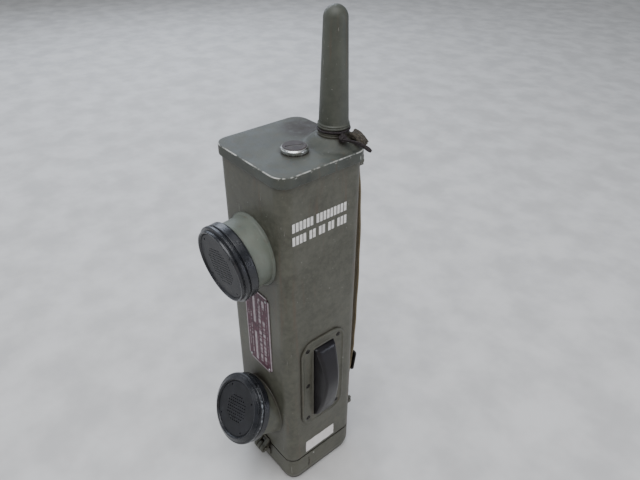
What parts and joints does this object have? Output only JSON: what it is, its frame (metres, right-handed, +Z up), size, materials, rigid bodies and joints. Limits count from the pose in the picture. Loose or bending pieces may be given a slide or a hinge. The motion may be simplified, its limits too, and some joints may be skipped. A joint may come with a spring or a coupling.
{
  "type": "two way radio",
  "caption": "Hand-held two way radio: tall square case, tilted earpiece and mouthpiece, side talk button, rear hand strap, hinged battery cover, telescopic aerial under a lift-off cap.",
  "frame": {"origin": "centre of the battery cover's flat underside", "axes": "+Z up along the case, the front with earpiece and mouthpiece faces -Y, the talk button is on +X, the strap is behind on +Y"},
  "size_m": [0.0921, 0.1383, 0.4115],
  "materials": {
    "olive_paint": "worn matt olive drab enamel on cast and sheet aluminium",
    "bakelite": "moulded black bakelite, rubbed",
    "rubber": "aged black rubber",
    "steel": "plain steel",
    "worn_brass": "dull brass",
    "aluminium": "plain sheet",
    "plug_metal": "rusty brown steel with a bright rim",
    "plate_enamel": "maroon filled etched plate",
    "paper": "aged blank paper label",
    "webbing": "khaki cotton webbing",
    "pale_webbing": "faded green cotton webbing",
    "leather": "dry dark leather",
    "phenolic": "brown laminated board",
    "valve_glass": "clear glass",
    "coil_wire": "enamelled copper wire",
    "dark_iron": "black japanned iron",
    "wax_paper": "waxed paper and ceramic",
    "battery_card": "waxed card jacket"
  },
  "bodies": {
    "case": {"case_shell": "olive_paint", "top_cover": "olive_paint", "top_gasket": "rubber", "screw_plug": "plug_metal", "earpiece_housing": "olive_paint", "earpiece_cap": "bakelite", "earphone_element": "aluminium", "mouthpiece_housing": "olive_paint", "mouthpiece_cap": "bakelite", "microphone_element": "aluminium", "housing_gaskets": "rubber", "data_plate": "plate_enamel", "plate_rivets": "aluminium", "paper_label": "paper", "talk_plate": "olive_paint", "talk_plate_screws": "steel", "boot_flange": "rubber", "talk_switch": "phenolic", "aerial_socket": "olive_paint", "aerial_insulator": "phenolic", "aerial_outer_tube": "steel", "socket_seal": "rubber", "cap_thong": "leather", "thong_tab": "pale_webbing", "power_switch": "phenolic", "case_hinge_leaf": "olive_paint", "hinge_pin": "steel", "catch_bracket": "olive_paint", "strap_loop_top": "olive_paint", "strap_loop_bottom": "olive_paint", "strap_webbing": "webbing", "strap_buckle": "dark_iron", "chassis_plate": "aluminium", "chassis_top_plate": "aluminium", "valve_sockets": "phenolic", "valves": "valve_glass", "crystals": "bakelite", "coil_formers": "coil_wire", "if_transformers": "aluminium", "audio_transformers": "dark_iron", "small_components": "wax_paper", "audio_leads": "rubber", "long_battery": "battery_card", "round_battery": "battery_card", "battery_contact_board": "phenolic"},
    "aerial_cap": {"aerial_cap": "olive_paint"},
    "aerial_1": {"aerial_section_1": "steel"},
    "aerial_2": {"aerial_section_2": "steel"},
    "aerial_3": {"aerial_section_3": "steel"},
    "aerial_4": {"aerial_tip_rod": "steel"},
    "power_slider": {"power_slider": "worn_brass"},
    "talk_button": {"talk_boot": "rubber", "talk_plunger": "steel"},
    "switch_slider": {"switch_slider": "worn_brass"},
    "battery_cover": {"bottom_cover": "olive_paint", "cover_gasket": "rubber", "cover_hinge_leaf": "olive_paint", "battery_springs": "worn_brass"},
    "catch": {"catch_lever": "olive_paint", "catch_stud": "steel"}
  },
  "joints": [
    {"name": "cap_lift", "type": "slide", "parent": "case", "child": "aerial_cap", "axis": [0, 0, 1], "range_m": [0, 0.95]},
    {"name": "aerial_1_slide", "type": "slide", "parent": "case", "child": "aerial_1", "axis": [0, 0, 1], "range_m": [0, 0.228]},
    {"name": "aerial_2_slide", "type": "slide", "parent": "aerial_1", "child": "aerial_2", "axis": [0, 0, 1], "range_m": [0, 0.228]},
    {"name": "aerial_3_slide", "type": "slide", "parent": "aerial_2", "child": "aerial_3", "axis": [0, 0, 1], "range_m": [0, 0.228]},
    {"name": "aerial_tip_slide", "type": "slide", "parent": "aerial_3", "child": "aerial_4", "axis": [0, 0, 1], "range_m": [0, 0.228]},
    {"name": "power_slide", "type": "slide", "parent": "case", "child": "power_slider", "axis": [0, 0, 1], "range_m": [0, 0.006]},
    {"name": "talk_press", "type": "slide", "parent": "case", "child": "talk_button", "axis": [-1, 0, 0], "range_m": [0, 0.0035], "stiffness_N_per_m": 1500},
    {"name": "switch_slide", "type": "slide", "parent": "case", "child": "switch_slider", "axis": [0, 0, 1], "range_m": [0, 0.0042]},
    {"name": "battery_cover_hinge", "type": "hinge", "parent": "case", "child": "battery_cover", "pos_m": [0, -0.0429, 0.025], "axis": [-1, 0, 0], "range_deg": [0, 105]},
    {"name": "catch_flex", "type": "hinge", "parent": "case", "child": "catch", "pos_m": [0, 0.0412, 0.041], "axis": [1, 0, 0], "range_deg": [0, 12], "stiffness_Nm_per_rad": 0.3}
  ],
  "couplings": [
    {"joint": "aerial_1_slide", "follows": "cap_lift", "ratio": 0.24},
    {"joint": "aerial_2_slide", "follows": "cap_lift", "ratio": 0.24},
    {"joint": "aerial_3_slide", "follows": "cap_lift", "ratio": 0.24},
    {"joint": "aerial_tip_slide", "follows": "cap_lift", "ratio": 0.24},
    {"joint": "power_slide", "follows": "cap_lift", "ratio": 0.0063},
    {"joint": "switch_slide", "follows": "talk_press", "ratio": 1.2}
  ]
}
